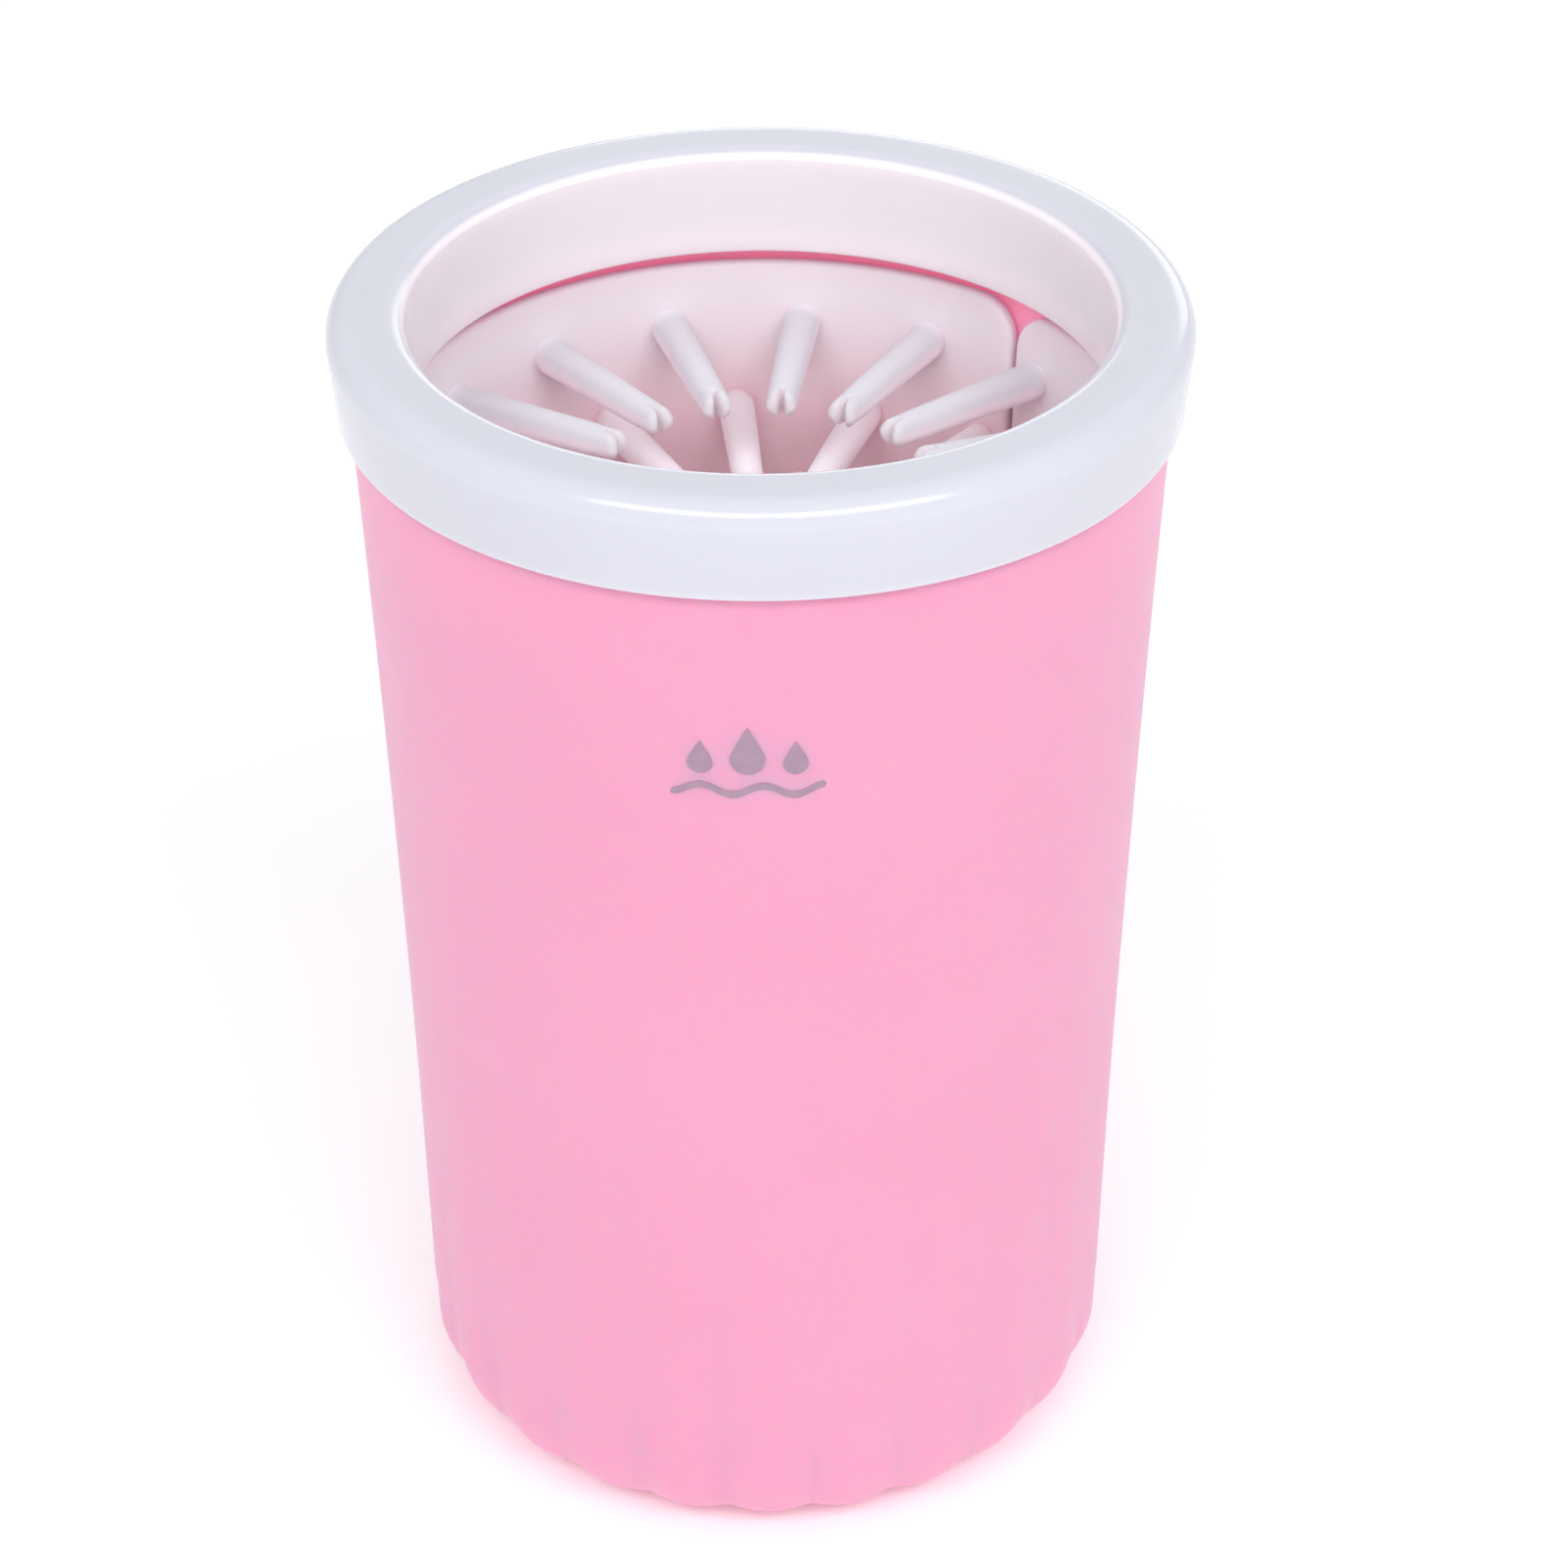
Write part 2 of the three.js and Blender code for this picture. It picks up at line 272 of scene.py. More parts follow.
def turned(name, profile, steps, shape=None):
    """A profile of (radius, height) points turned about Z: it runs from the axis to the axis, or closes on
    itself. shape moves each point, given as radius, angle and height."""
    shape = shape or (lambda r, angle, z: (r, z))
    grid = bmesh.new()
    starts_on_axis = profile[0][0] == 0
    rings = []
    for r, z in profile:
        if r == 0:
            rings.append([grid.verts.new((0, 0, z))] * steps)
            continue
        ring = []
        for i in range(steps):
            angle = 2 * math.pi * i / steps - math.pi / 2
            new_r, new_z = shape(r, angle, z)
            ring.append(grid.verts.new((new_r * math.cos(angle), new_r * math.sin(angle), new_z)))
        rings.append(ring)
    if not starts_on_axis:
        rings.append(rings[0])
    for ring, following in zip(rings, rings[1:]):
        for i in range(steps):
            j = (i + 1) % steps
            corners = [ring[i], ring[j], following[j], following[i]]
            grid.faces.new(list(dict.fromkeys(corners)))
    return make_object(name, grid)


def slab(name, grid, faces):
    """A thin solid between two grids of vertices, each a list of columns."""
    for face in faces:
        for here, following in zip(face, face[1:]):
            for j in range(len(here) - 1):
                grid.faces.new([here[j], following[j], following[j + 1], here[j + 1]])
    rim = [border(face) for face in faces]
    count = len(rim[0])
    for i in range(count):
        j = (i + 1) % count
        grid.faces.new([rim[0][i], rim[0][j], rim[1][j], rim[1][i]])
    return make_object(name, grid)


def border(face):
    """The vertices round the border of a grid of vertices, in order."""
    bottom = [column[0] for column in face]
    top = [column[-1] for column in face]
    return bottom + face[-1][1:-1] + top[::-1] + face[0][-2:0:-1]


def joined(piece, *others):
    """The union of piece with the others, which are deleted."""
    for other in others:
        union = piece.modifiers.new("union", "BOOLEAN")
        union.operation = "UNION"
        union.solver = "MANIFOLD"
        union.object = other
    depsgraph = bpy.context.evaluated_depsgraph_get()
    result = bpy.data.meshes.new_from_object(piece.evaluated_get(depsgraph))
    piece.modifiers.clear()
    piece.data = result
    for other in others:
        bpy.data.objects.remove(other)
    return piece


# ---- Cup ----
def wall_radius(z):
    return BASE_RADIUS + DRAFT * z + FLARE * z * z


def bore_radius(z):
    return min(wall_radius(z) - WALL, NECK_BORE_RADIUS)


HEEL_CENTRE = wall_radius(HEEL) - HEEL


def outer_radius(z):
    """Outer radius at any height below the shoulder, the rounded heel included."""
    below = max(HEEL - z, 0)
    return HEEL_CENTRE + math.sqrt(HEEL**2 - below**2) if below else wall_radius(z)


def fluted(r, angle, z):
    """Cuts the flutes' valleys into the outside of the cup, square to its surface."""
    if not FOOT_Z < z < SHOULDER_Z or r < outer_radius(z) - WALL / 4:
        return r, z
    flute = angle / (2 * math.pi) * FLUTES
    from_valley = 1 - 2 * abs(flute - round(flute))
    soft = math.hypot(from_valley, VALLEY) - VALLEY
    tilt = math.asin(max(HEEL - z, 0) / HEEL)
    fade = smooth(math.pi / 2 - tilt, 0, FLUTE_START) * (1 - smooth(z, WALL_FLUTE_Z, FLUTE_TOP_Z))
    fade *= lerp(1, WALL_FLUTE, smooth(z, HEEL / 2, WALL_FLUTE_Z))
    cut = FLUTE_DEPTH * fade * (1 - soft) ** 2
    return r - cut * math.cos(tilt), z + cut * math.sin(tilt)


def make_cup():
    inner_heel_centre = bore_radius(FLOOR_Z + INNER_HEEL) - INNER_HEEL
    edge = EDGE_ROUND
    shoulder_radius = wall_radius(SHOULDER_Z)
    outer = [(wall_radius(z), z) for z in heights(HEEL, SHOULDER_Z - edge, WALL_STEPS)]
    inner = [(bore_radius(z), z) for z in heights(LIP_Z - LIP_HEIGHT, FLOOR_Z + INNER_HEEL, BORE_STEPS)]
    profile = [
        (0, FOOT_RECESS),  # the recess in the underside, then the foot ring
        (FOOT_INNER_RADIUS - FOOT_EDGE, FOOT_RECESS),
        (FOOT_INNER_RADIUS, FOOT_RECESS),
        (FOOT_INNER_RADIUS + FOOT_RECESS * 0.6, FOOT_RECESS * 0.3),
        (FOOT_INNER_RADIUS + FOOT_RECESS, 0),
        *arc(HEEL_CENTRE, HEEL, HEEL, -90, 0, HEEL_STEPS),
        *outer,
        *arc(shoulder_radius - edge, SHOULDER_Z - edge, edge, 0, 90, EDGE_STEPS)[1:],
        (NECK_RADIUS, SHOULDER_Z),
        *arc(NECK_RADIUS - LIP_ROUND, LIP_Z - LIP_ROUND, LIP_ROUND, 0, 90, LIP_STEPS),
        *arc(NECK_BORE_RADIUS + LIP_ROUND, LIP_Z - LIP_ROUND, LIP_ROUND, 90, 180, LIP_STEPS),
        *inner,
        *arc(inner_heel_centre, FLOOR_Z + INNER_HEEL, INNER_HEEL, 0, -90, INNER_HEEL_STEPS)[1:],
        (0, FLOOR_Z),
    ]
    cup = turned("cup", profile, CUP_STEPS, fluted)
    shade_smooth(cup)
    return cup


# ---- Collar and seal ----
def make_collar():
    skirt_radius = MOUTH_FOOT_RADIUS + SKIRT
    ledge_top = seal_low.z - CLEARANCE
    edge = EDGE_ROUND
    outer_centre = (COLLAR_RADIUS - COLLAR_OUTER_ROUND, COLLAR_TOP_Z - COLLAR_OUTER_ROUND)
    inner_centre = (MOUTH_RADIUS + COLLAR_INNER_ROUND * INNER_ROUND_REACH, COLLAR_TOP_Z - COLLAR_INNER_ROUND)
    inner_arc = arc(*inner_centre, COLLAR_INNER_ROUND, 90, INNER_ROUND_END, INNER_ROUND_STEPS)
    crease = (MOUTH_RADIUS + CREASE, inner_arc[-1][1] - CREASE)
    profile = [
        (CHANNEL_RADIUS, COLLAR_FOOT_Z),
        *arc(COLLAR_FOOT_RADIUS - edge, COLLAR_FOOT_Z + edge, edge, -90, 0, EDGE_STEPS),
        *arc(*outer_centre, COLLAR_OUTER_ROUND, 0, 90, OUTER_ROUND_STEPS),
        *line((outer_centre[0], COLLAR_TOP_Z), (inner_centre[0], COLLAR_TOP_Z), TOP_STEPS),
        *inner_arc[1:],
        crease,
        *line(crease, (MOUTH_FOOT_RADIUS, SKIRT_FOOT_Z + edge), MOUTH_STEPS),
        *arc(MOUTH_FOOT_RADIUS + edge, SKIRT_FOOT_Z + edge, edge, 180, 270, EDGE_STEPS)[1:],
        (skirt_radius, SKIRT_FOOT_Z),
        (skirt_radius + SEAL_LEDGE, SKIRT_FOOT_Z + SEAL_LEDGE),
        (skirt_radius + SEAL_LEDGE, ledge_top),
        (skirt_radius, ledge_top),
        (skirt_radius, CHANNEL_TOP_Z),
        (CHANNEL_RADIUS, CHANNEL_TOP_Z),
    ]
    collar = turned("collar_ring", profile, ROUND_STEPS)
    shade_smooth(collar)
    return collar


def make_seal():
    inner = MOUTH_FOOT_RADIUS + SKIRT + FIT_GAP
    tip = NECK_BORE_RADIUS - FIT_GAP
    band = lerp(inner, tip, 0.5)
    lip_pitch = (seal_high.z - seal_low.z) / SEAL_LIPS
    tip_round = lip_pitch * SEAL_TIP_ROUND
    profile = [(inner, seal_low.z)]
    for i in range(SEAL_LIPS):
        z = seal_low.z + i * lip_pitch
        profile.append((band, z))
        profile += arc(tip - tip_round, z + lip_pitch * SEAL_TIP_MIDDLE, tip_round, -90, 90, SEAL_TIP_STEPS)
        profile.append((band, z + lip_pitch * SEAL_LIP_TOP))
    profile += [(band, seal_high.z), (inner, seal_high.z)]
    seal = turned("collar_seal_ring", profile, ROUND_STEPS)
    shade_smooth(seal)
    return seal


# ---- Brush panels ----
def sheet_radius(z):
    return bore_radius(z) - SHEET_GAP - SHEET


def stations(length, pitch):
    """Distances along a side of the sheet: close together in the rounded edges and corners."""
    corner, edge, steps = SHEET_CORNER, SHEET_EDGE, 6
    near = [edge * (1 - math.cos(math.pi / 2 * i / steps)) for i in range(steps)]
    near += [edge + (corner - edge) * i / steps for i in range(steps + 1)]
    middle_count = max(round((length - 2 * corner) / pitch), 1)
    middle = [lerp(corner, length - corner, i / middle_count) for i in range(1, middle_count)]
    return near + middle + [length - s for s in reversed(near)]


def depth_inside(s, t, width, height):
    """How far a point of the flat sheet is from its rounded outline."""
    past_s = abs(s - width / 2) - (width / 2 - SHEET_CORNER)
    past_t = abs(t - height / 2) - (height / 2 - SHEET_CORNER)
    outside = math.hypot(max(past_s, 0), max(past_t, 0))
    return SHEET_CORNER - outside - min(max(past_s, past_t), 0)


def make_sheet(name):
    """A flat sheet with rounded corners and edges, bent to the cup's bore, from 0 to 180 degrees."""
    height = SHEET_TOP_Z - SHEET_FOOT_Z
    reference = sheet_radius(SHEET_TOP_Z)
    width = math.pi * reference - SEAM_GAP
    columns = stations(width, SHEET_STEP)
    levels = stations(height, SHEET_LEVEL)
    grid = bmesh.new()
    faces = []
    for side in (-1, 1):
        face = []
        for s in columns:
            from_side = min(s, width - s)
            in_corner = max(SHEET_CORNER - from_side, 0)
            cut = SHEET_CORNER - math.sqrt(SHEET_CORNER**2 - in_corner**2)
            column = []
            for level in levels:
                t = lerp(cut, height - cut, level / height)
                depth = min(max(depth_inside(s, t, width, height), 0), SHEET_EDGE)
                half = SHEET / 2 - SHEET_EDGE + math.sqrt(SHEET_EDGE**2 - (SHEET_EDGE - depth) ** 2)
                z = SHEET_FOOT_Z + t
                r = sheet_radius(z) + SHEET / 2 + side * half
                angle = (s + SEAM_GAP / 2) / reference
                column.append(grid.verts.new((r * math.cos(angle), r * math.sin(angle), z)))
            face.append(column)
        faces.append(face)
    return slab(name, grid, faces)


def loft(grid, sections):
    """A closed solid through rings of points of equal count."""
    rings = [[grid.verts.new(p) for p in section] for section in sections]
    for ring, following in zip(rings, rings[1:]):
        for i in range(len(ring)):
            j = (i + 1) % len(ring)
            grid.faces.new([ring[i], ring[j], following[j], following[i]])
    grid.faces.new(rings[0][::-1])
    grid.faces.new(rings[-1])


def circle(x, radius):
    angles = [2 * math.pi * i / BRISTLE_STEPS for i in range(BRISTLE_STEPS)]
    return [(x, radius * math.cos(a), radius * math.sin(a)) for a in angles]


def half_round(radius, opening, edge):
    """Outline of a circle cut off at y = opening, its corners rounded, as (y, z) offsets from its middle.
    Each point is found by halving the reach of a ray from the middle."""
    middle = (radius + opening) / 2
    points = []
    for i in range(BRISTLE_STEPS):
        a = 2 * math.pi * (i + 0.5) / BRISTLE_STEPS
        near, far = 0, radius
        for _ in range(HALVINGS):
            reach = (near + far) / 2
            y, z = middle + reach * math.cos(a), reach * math.sin(a)
            past_circle, past_cut = math.hypot(y, z) - radius, opening - y
            corner = math.hypot(max(past_circle + edge, 0), max(past_cut + edge, 0))
            if corner + min(max(past_circle, past_cut), -edge) > 0:
                far = reach
            else:
                near = reach
        points.append((near * math.cos(a), near * math.sin(a)))
    return middle, points


def shaft_radius(x, root):
    """Radius of a bristle at distance x from the cup's axis. Its root is on the sheet, at root."""
    return lerp(TIP_RADIUS, ROOT_RADIUS, (x - TIP_CIRCLE) / (root - TIP_CIRCLE))


def slim_radius(x, root):
    """The same on the slimmer end that holds the fork."""
    return shaft_radius(x, root) - TIP_STEP_DEPTH


def closing(distance, length):
    """Share of the full size at a distance from the end of a shape that closes as an ellipse over length."""
    return math.sqrt(1 - max(1 - distance / length, 0) ** 2)


def make_bristle(name, root):
    """One forked bristle along +X, from its tip at the tip circle to just inside the sheet."""
    slot = TIP_CIRCLE + SLOT_DEPTH
    step = TIP_CIRCLE + TIP_STEP
    sections = []
    for degrees in (10, 35, 60, 90):
        a = math.radians(degrees)
        x = slot + SLOT_END_ROUND * (1 - math.cos(a))
        sections.append(circle(x, slim_radius(x, root) - SLOT_END_ROUND * (1 - math.sin(a))))
    sections.append(circle(step, slim_radius(step, root)))
    sections.append(circle(step + TIP_STEP_LENGTH, shaft_radius(step, root)))
    flare_start = root - ROOT_FLARE_LENGTH
    for x in (lerp(step, flare_start, 0.5), flare_start):
        sections.append(circle(x, shaft_radius(x, root)))
    for i in range(1, 5):
        a = math.radians(22.5 * i)
        x = flare_start + ROOT_FLARE_LENGTH * math.sin(a)
        sections.append(circle(x, shaft_radius(x, root) + ROOT_FLARE * (1 - math.cos(a))))
    sections.append(circle(root + SHEET * ROOT_DEPTH, ROOT_RADIUS + ROOT_FLARE))
    shaft = bmesh.new()
    loft(shaft, sections)
    bristle = make_object(name, shaft)
    tines = []
    for side in (-1, 1):
        tine = bmesh.new()
        loft(tine, tine_sections(side, slot, root))
        tines.append(make_object(f"{name}_tine", tine))
    return joined(bristle, *tines)


def tine_sections(side, slot, root):
    """Rings of one rounded finger of the fork, from inside the shaft to the tip."""
    distances = [SLOT_DEPTH + reach for reach in TINE_ROOTS] + [SLOT_DEPTH * 0.8, TINE_NOSE]
    distances += [TINE_NOSE * (1 - math.sin(math.radians(a))) for a in (12, 24, 36, 48, 60, 70, 79, 86)]
    sections = []
    for distance in distances:
        x = TIP_CIRCLE + distance
        outer = slim_radius(x, root) - TINE_INSET
        opening = lerp(SLOT_MOUTH, SLOT_FOOT, min(distance / SLOT_DEPTH, 1))
        middle, outline = half_round(outer, opening, TINE_EDGE)
        across, upright = closing(distance, TINE_ROUND), closing(distance, TINE_NOSE)
        sections.append([(x, side * (middle + y * across), z * upright) for y, z in outline])
    return sections


def make_panel(name, angle):
    """A sheet with all its bristles, turned to where it sits. Alternate rows are half a pitch apart."""
    panel = make_sheet(name)
    copies = []
    for row in range(ROWS):
        z = TOP_ROW_Z - row * ROW_PITCH
        bristle = make_bristle(f"{name}_row", sheet_radius(z))
        first = BRISTLE_PITCH * (0.25 if row % 2 else 0.75)
        for i in range(BRISTLES):
            copy = bpy.data.objects.new(f"{name}_bristle", bristle.data.copy())
            turn = Matrix.Rotation(first + i * BRISTLE_PITCH, 4, "Z")
            copy.data.transform(Matrix.Translation((0, 0, z)) @ turn)
            copies.append(copy)
        bpy.data.objects.remove(bristle)
    brush = bmesh.new()
    for copy in copies:
        brush.from_mesh(copy.data)
        bpy.data.objects.remove(copy)
    panel = joined(panel, make_object(f"{name}_bristles", brush))
    panel.data.transform(Matrix.Rotation(angle, 4, "Z"))
    shade_smooth(panel, 38)
    return panel


# ---- Printed mark ----
def printed(name, columns):
    """A thin patch of ink on the cup. Each column is (distance along the wall, lowest z, highest z)."""
    ink = bmesh.new()
    faces = []
    for offset in (-INK, INK):
        face = []
        for s, low, high in columns:
            column = []
            for level in range(INK_LEVELS + 1):
                z = MARK_Z + lerp(low, high, level / INK_LEVELS)
                r = wall_radius(z) + offset
                angle = MARK_ANGLE + s / wall_radius(z) - math.pi / 2
                column.append(ink.verts.new((r * math.cos(angle), r * math.sin(angle), z)))
            face.append(column)
        faces.append(face)
    return slab(name, ink, faces)


def drop_columns(centre, radius, apex):
    """A water drop: a round bottom, and straight sides up to its apex, which is that far above the centre."""
    tangent = math.asin(radius / apex)
    touch_s, touch_z = radius * math.cos(tangent), radius * math.sin(tangent)
    columns = []
    for i in range(DROP_STEPS + 1):
        s = -DROP_END * radius * math.cos(math.pi * i / DROP_STEPS)
        half = math.sqrt(radius**2 - s**2)
        high = apex - abs(s) * (apex - touch_z) / touch_s if abs(s) < touch_s else half
        columns.append((centre + s, DROP_Z + radius - half, DROP_Z + radius + high))
    return columns


def wave_columns():
    """A wavy line under the drops, with round ends."""
    columns = []
    for i in range(WAVE_STEPS + 1):
        s = -math.cos(math.pi * i / WAVE_STEPS) * WAVE_WIDTH / 2
        from_end = WAVE_WIDTH / 2 - abs(s)
        inside = max(WAVE_STROKE / 2 - from_end, 0)
        half = max(math.sqrt((WAVE_STROKE / 2) ** 2 - inside**2), INK_EDGE)
        z = WAVE_HEIGHT / 2 * math.sin(2 * math.pi * WAVES * s / WAVE_WIDTH)
        columns.append((s, z - half, z + half))
    return columns


def make_mark():
    wave = printed("mark_wave", wave_columns())
    drops = [printed(f"mark_drop_{name}", drop_columns(*drop)) for name, drop in DROPS.items()]
    return [wave, *drops]


# ---- Materials ----
# Every pattern and tone, painted light and painted shade included, is placed on the object itself, by radius,
# height or the way the surface faces.
def new_material(name):
    material = bpy.data.materials.new(name)
    material.use_nodes = True
    nodes = material.node_tree.nodes
    return material, nodes, material.node_tree.links, nodes["Principled BSDF"]


def coordinate(nodes, output):
    return nodes.new("ShaderNodeTexCoord").outputs[output]


def noise(nodes, links, scale, detail=2):
    texture = nodes.new("ShaderNodeTexNoise")
    texture.inputs["Scale"].default_value = scale
    texture.inputs["Detail"].default_value = detail
    links.new(coordinate(nodes, "Object"), texture.inputs["Vector"])
    return texture.outputs["Fac"]


def mottled(nodes, links, tones, scale):
    """A colour that drifts slowly between two near tones over the surface."""
    ramp = nodes.new("ShaderNodeValToRGB")
    for element, position, tone in zip(ramp.color_ramp.elements, (0.3, 0.7), tones):
        element.position = position
        element.color = (*tone, 1)
    links.new(noise(nodes, links, scale, detail=3), ramp.inputs["Fac"])
    return ramp.outputs["Color"]


def grain(nodes, links, shader, scale, strength, distance):
    """Fine bump over the whole surface."""
    bump = nodes.new("ShaderNodeBump")
    bump.inputs["Strength"].default_value = strength
    bump.inputs["Distance"].default_value = distance
    links.new(noise(nodes, links, scale, detail=4), bump.inputs["Height"])
    links.new(bump.outputs["Normal"], shader.inputs["Normal"])


def varied_roughness(nodes, links, shader, low, high, scale):
    spread = nodes.new("ShaderNodeMapRange")
    spread.inputs["To Min"].default_value = low
    spread.inputs["To Max"].default_value = high
    links.new(noise(nodes, links, scale), spread.inputs["Value"])
    links.new(spread.outputs["Result"], shader.inputs["Roughness"])


def scattering(shader, weight, radius, scale):
    """Light scattered below the surface: red, green and blue reach radius times scale."""
    shader.inputs["Subsurface Weight"].default_value = weight
    shader.inputs["Subsurface Radius"].default_value = radius
    shader.inputs["Subsurface Scale"].default_value = scale


def eased(nodes, links, value, start, end):
    """0 where value is at start, 1 where it is at end, smooth between."""
    ease = nodes.new("ShaderNodeMapRange")
    ease.interpolation_type = "SMOOTHSTEP"
    ease.inputs["From Min"].default_value = start
    ease.inputs["From Max"].default_value = end
    links.new(value, ease.inputs["Value"])
    return ease.outputs["Result"]


def combined(nodes, links, operation, a, b):
    node = nodes.new("ShaderNodeMath")
    node.operation = operation
    links.new(a, node.inputs[0])
    links.new(b, node.inputs[1])
    return node.outputs["Value"]


def blended(nodes, links, factor, first, second):
    """A mix of two colours, each a node's output or three numbers."""
    mix = nodes.new("ShaderNodeMix")
    mix.data_type = "RGBA"
    links.new(factor, mix.inputs["Factor"])
    for colour, socket in ((first, mix.inputs["A"]), (second, mix.inputs["B"])):
        if isinstance(colour, tuple):
            socket.default_value = (*colour, 1)
        else:
            links.new(colour, socket)
    return mix.outputs["Result"]


def from_axis(nodes, links, start, end):
    """0 where the distance from the cup's axis is start, 1 where it is end, and the height."""
    place = nodes.new("ShaderNodeSeparateXYZ")
    links.new(coordinate(nodes, "Object"), place.inputs["Vector"])
    squares = [combined(nodes, links, "MULTIPLY", place.outputs[axis], place.outputs[axis]) for axis in "XY"]
    distance_squared = combined(nodes, links, "ADD", *squares)
    return eased(nodes, links, distance_squared, start**2, end**2), place.outputs["Z"]


def faces_axis(nodes, links):
    """1 where the surface faces the cup's axis, 0 where it faces away from it."""
    level = nodes.new("ShaderNodeVectorMath")
    level.operation = "MULTIPLY"
    level.inputs[1].default_value = (1, 1, 0)
    links.new(coordinate(nodes, "Object"), level.inputs[0])
    facing = nodes.new("ShaderNodeVectorMath")
    facing.operation = "DOT_PRODUCT"
    links.new(level.outputs["Vector"], facing.inputs[0])
    links.new(coordinate(nodes, "Normal"), facing.inputs[1])
    clearly = sheet_radius(0) / 2
    return eased(nodes, links, facing.outputs["Value"], clearly, -clearly)


def faces_down(nodes, links):
    """1 where the surface faces down, 0 where it faces up."""
    normal = nodes.new("ShaderNodeSeparateXYZ")
    links.new(coordinate(nodes, "Normal"), normal.inputs["Vector"])
    return eased(nodes, links, normal.outputs["Z"], *UNDERSIDE_PAINTED_LIGHT_NORMALS)


def pink_plastic():
    """Translucent pink. The bore near the mouth is painted paler and glows faintly: painted light, for light
    through the wall.
    """
    material, nodes, links, shader = new_material("pink_polypropylene")
    outside = mottled(nodes, links, PINK, scale=28)
    in_bore, z = from_axis(nodes, links, *BORE_PAINTED_LIGHT_RADII)
    # Painted light: the bore is paler near the mouth and glows faintly there.
    painted_light_at_mouth = combined(nodes, links, "MULTIPLY", in_bore, eased(nodes, links, z, *BORE_PAINTED_LIGHT_HEIGHTS))
    at_rim = combined(nodes, links, "MULTIPLY", in_bore, eased(nodes, links, z, *BORE_GLOW_HEIGHTS))
    links.new(blended(nodes, links, painted_light_at_mouth, outside, PINK_PAINTED_LIGHT_AT_MOUTH), shader.inputs["Base Color"])
    links.new(blended(nodes, links, at_rim, BLACK, PINK_GLOW), shader.inputs["Emission Color"])
    shader.inputs["Emission Strength"].default_value = BORE_GLOW
    varied_roughness(nodes, links, shader, low=0.36, high=0.48, scale=90)
    grain(nodes, links, shader, scale=2600, strength=0.12, distance=0.06 * MM)
    scattering(shader, weight=1, radius=(1, 0.15, 0.25), scale=5 * MM)
    shader.inputs["IOR"].default_value = 1.49
    return material


def white_plastic():
    """Glossy white, with painted light inside the mouth, which is paler."""
    material, nodes, links, shader = new_material("gloss_white_plastic")
    outside = mottled(nodes, links, COLLAR_WHITE, scale=22)
    painted_light_in_mouth, _ = from_axis(nodes, links, *COLLAR_PAINTED_LIGHT_RADII)
    links.new(blended(nodes, links, painted_light_in_mouth, outside, COLLAR_MOUTH_PAINTED_LIGHT), shader.inputs["Base Color"])
    varied_roughness(nodes, links, shader, low=0.12, high=0.2, scale=70)
    grain(nodes, links, shader, scale=900, strength=0.05, distance=0.05 * MM)
    scattering(shader, weight=0.8, radius=(1, 0.95, 1), scale=2 * MM)
    shader.inputs["IOR"].default_value = 1.52
    return material


def silicone(name, tones):
    """Soft satin silicone, given with its nodes so that more tones can be blended in."""
    material, nodes, links, shader = new_material(name)
    links.new(mottled(nodes, links, tones, scale=40), shader.inputs["Base Color"])
    varied_roughness(nodes, links, shader, low=0.5, high=0.64, scale=120)
    grain(nodes, links, shader, scale=1800, strength=0.1, distance=0.06 * MM)
    scattering(shader, weight=0.9, radius=(1, 0.95, 0.95), scale=3 * MM)
    shader.inputs["IOR"].default_value = 1.41
    return material, nodes, links, shader


def brush_silicone():
    """White silicone. Inside, the sheet is painted pinker away from its rim: painted shade, and painted pink
    light for the pink cup showing through the thin sheet.
    The lower bristles and the undersides are painted paler: painted light, for light from the cup's wall."""
    material, nodes, links, shader = silicone("brush_silicone", (BRISTLE, BRISTLE))
    bristle = shader.inputs["Base Color"].links[0].from_socket
    radius = sheet_radius(SHEET_TOP_Z)
    on_sheet, z = from_axis(nodes, links, radius - SHEET_TONE_BAND, radius)
    # Painted shade and painted pink light: the sheet is pinker deeper down.
    painted_shade_below_rim = eased(nodes, links, z, *SHEET_PAINTED_SHADE_HEIGHTS)
    sheet_painted_shade = blended(nodes, links, painted_shade_below_rim, SHEET_RIM, SHEET_DEEP_PAINTED_SHADE)
    sheet = blended(nodes, links, faces_axis(nodes, links), BRISTLE, sheet_painted_shade)
    # Painted light: the rows below the top one are paler.
    painted_light_below_top_row = eased(nodes, links, z, *BRISTLE_PAINTED_LIGHT_HEIGHTS)
    bristle = blended(nodes, links, painted_light_below_top_row, bristle, BRISTLE_PAINTED_LIGHT_BELOW)
    # Painted light: surfaces that face down are paler.
    bristle = blended(nodes, links, faces_down(nodes, links), bristle, BRISTLE_UNDERSIDE_PAINTED_LIGHT)
    links.new(blended(nodes, links, on_sheet, bristle, sheet), shader.inputs["Base Color"])
    return material


def grey_ink():
    material, nodes, links, shader = new_material("grey_ink")
    links.new(mottled(nodes, links, INK_GREY, scale=600), shader.inputs["Base Color"])
    varied_roughness(nodes, links, shader, low=0.45, high=0.6, scale=900)
    grain(nodes, links, shader, scale=3500, strength=0.2, distance=0.03 * MM)
    return material


# ---- Pieces ----
def dress(piece, material, body, slot, *nodes_replaced):
    piece.data.materials.clear()
    piece.data.materials.append(material)
    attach(piece, body)
    if nodes_replaced:
        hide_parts(*nodes_replaced)


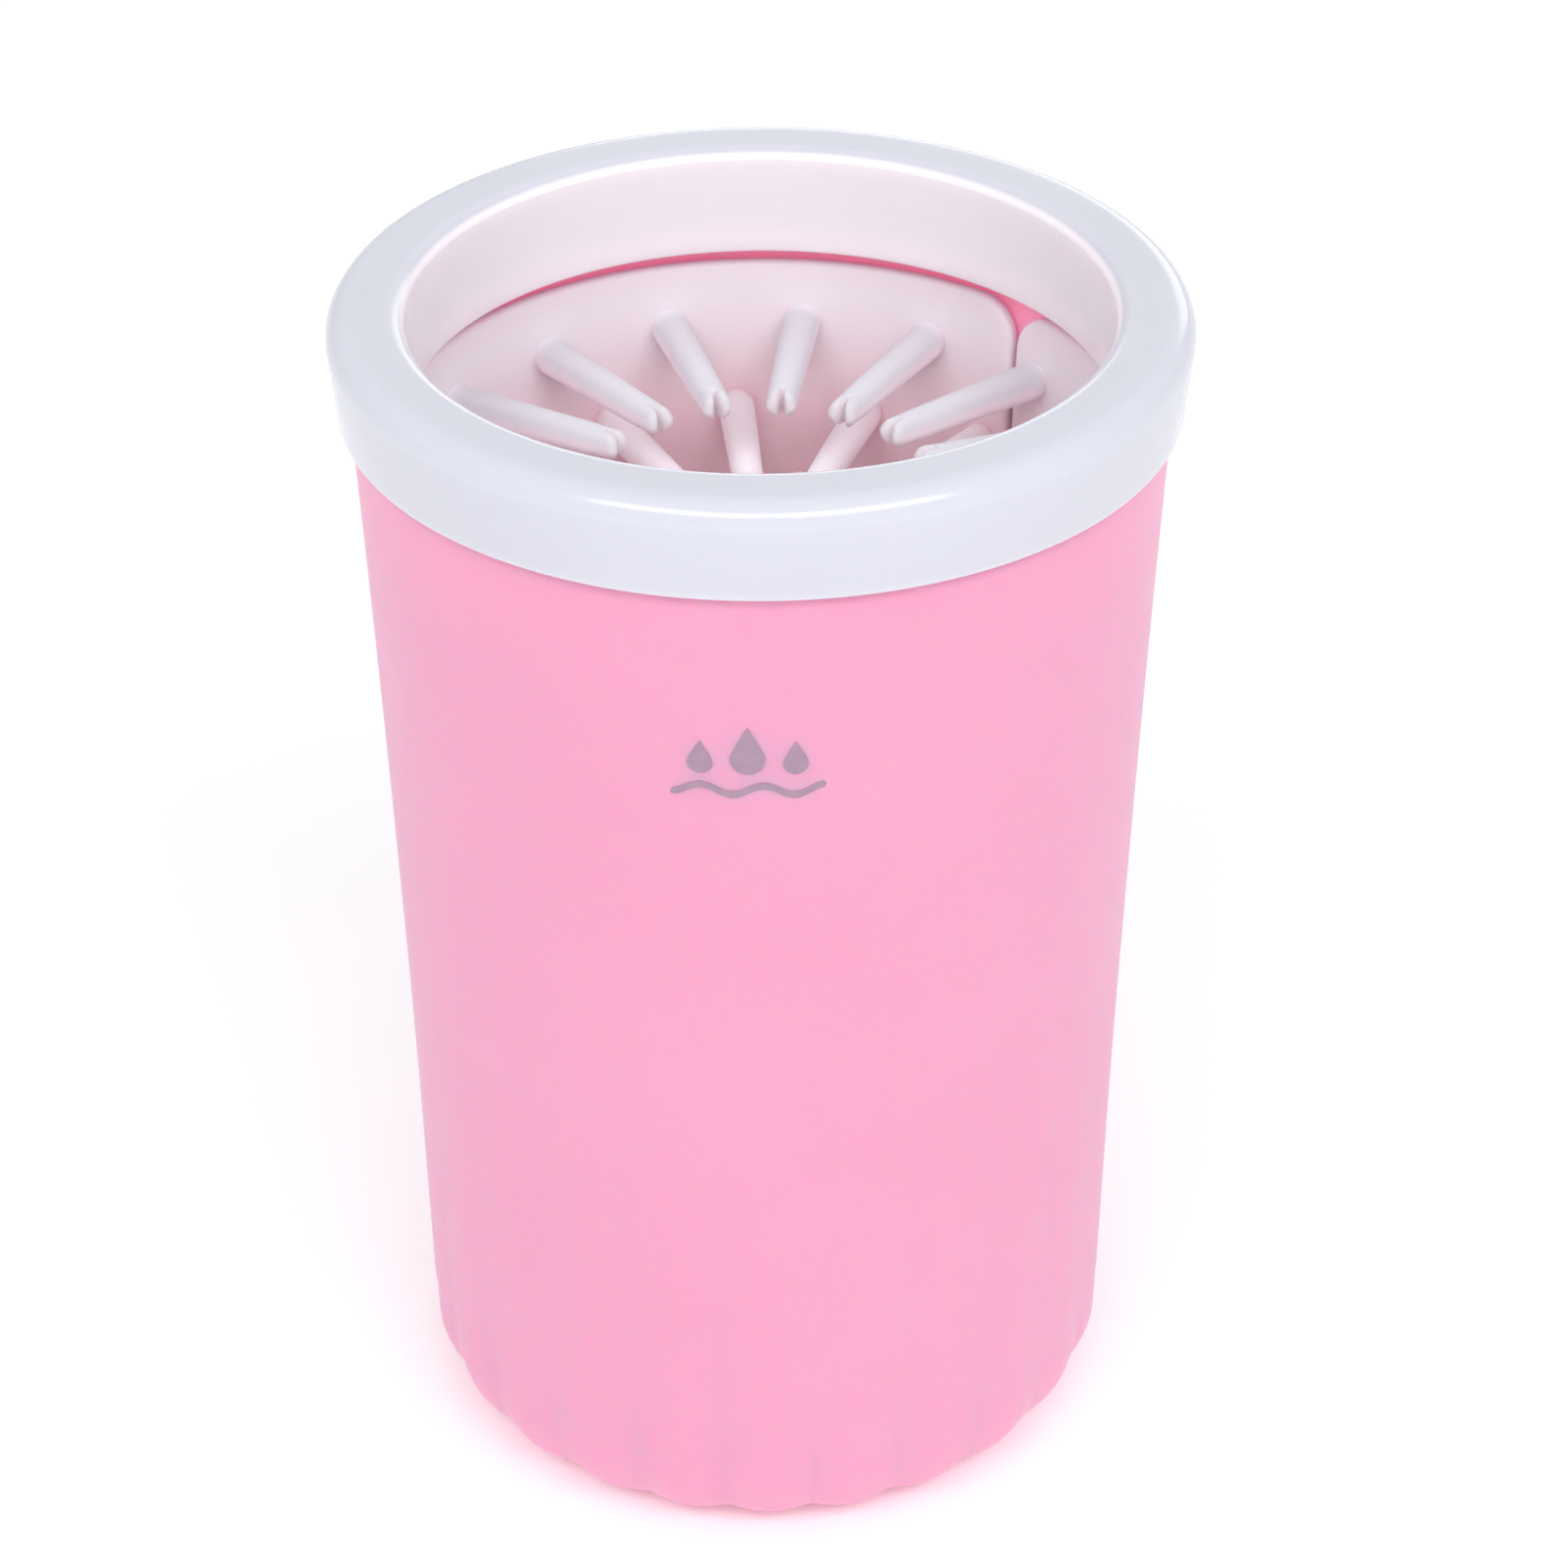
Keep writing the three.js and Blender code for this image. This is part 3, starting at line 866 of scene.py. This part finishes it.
brush = brush_silicone()
dress(make_cup(), pink_plastic(), "cup", "cup", "cup_body")
dress(make_collar(), white_plastic(), "collar", "collar", "collar")
dress(make_seal(), silicone("seal_silicone", SEAL_GREY)[0], "collar", "seal", "collar_seal")
dress(make_panel("brush_panel_back", SEAM_ANGLE), brush, "back_panel", "brush",
      "back_brush_sheet", "back_bristles")
dress(make_panel("brush_panel_front", SEAM_ANGLE - math.pi), brush, "front_panel", "brush",
      "front_brush_sheet", "front_bristles")
ink = grey_ink()
for shape in make_mark():
    dress(shape, ink, "cup", "cup")


# ---- Stage, lights and camera ----
def make_floor():
    bpy.ops.mesh.primitive_plane_add(size=FLOOR_SIZE, location=(0, 0, FOOT_Z - FLOOR_GAP))
    floor = bpy.context.object
    floor.name = "floor"
    material, nodes, links, shader = new_material("pale_floor")
    links.new(mottled(nodes, links, FLOOR_WHITE, scale=3), shader.inputs["Base Color"])
    shader.inputs["Roughness"].default_value = 0.9
    shader.inputs["Emission Color"].default_value = (1, 1, 1, 1)
    shader.inputs["Emission Strength"].default_value = FLOOR_GLOW
    floor.data.materials.append(material)


def soft_box(name, azimuth, elevation, power):
    """An area light aimed at the upper cup. Azimuth is from the front, towards +X; angles in degrees."""
    light = bpy.data.lights.new(name, "AREA")
    light.shape = "RECTANGLE"
    light.size, light.size_y = LIGHT_SIZE
    light.energy = power
    lamp = bpy.data.objects.new(name, light)
    a, e = math.radians(azimuth), math.radians(elevation)
    aim = Vector((0, 0, COLLAR_TOP_Z * LIGHT_AIM))
    away = Vector((math.sin(a) * math.cos(e), -math.cos(a) * math.cos(e), math.sin(e)))
    lamp.location = aim + away * LIGHT_DISTANCE
    lamp.rotation_euler = away.to_track_quat("Z", "Y").to_euler()
    bpy.context.scene.collection.objects.link(lamp)


def make_world(strength):
    world = bpy.data.worlds.new("studio")
    world.use_nodes = True
    background = world.node_tree.nodes["Background"]
    background.inputs["Color"].default_value = (*SKY, 1)
    background.inputs["Strength"].default_value = strength
    bpy.context.scene.world = world


def make_camera():
    camera_data = bpy.data.cameras.new("camera")
    camera_data.sensor_width = SENSOR
    camera_data.lens = LENS
    camera = bpy.data.objects.new("camera", camera_data)
    aimed = Euler((math.pi / 2 - CAMERA_DOWN, 0, -CAMERA_RIGHT)).to_matrix().to_4x4()
    camera.matrix_world = Matrix.Translation(CAMERA_PLACE) @ aimed @ Matrix.Rotation(CAMERA_ROLL, 4, "Z")
    bpy.context.scene.collection.objects.link(camera)
    bpy.context.scene.camera = camera


make_floor()
soft_box("left_box", azimuth=-25, elevation=46, power=13)
soft_box("right_box", azimuth=28, elevation=46, power=15)
soft_box("back_box", azimuth=165, elevation=14, power=4)
make_world(strength=0.74)
make_camera()
bpy.context.scene.view_settings.view_transform = "Standard"
bpy.context.scene.cycles.max_bounces = 16
bpy.context.scene.cycles.diffuse_bounces = 12
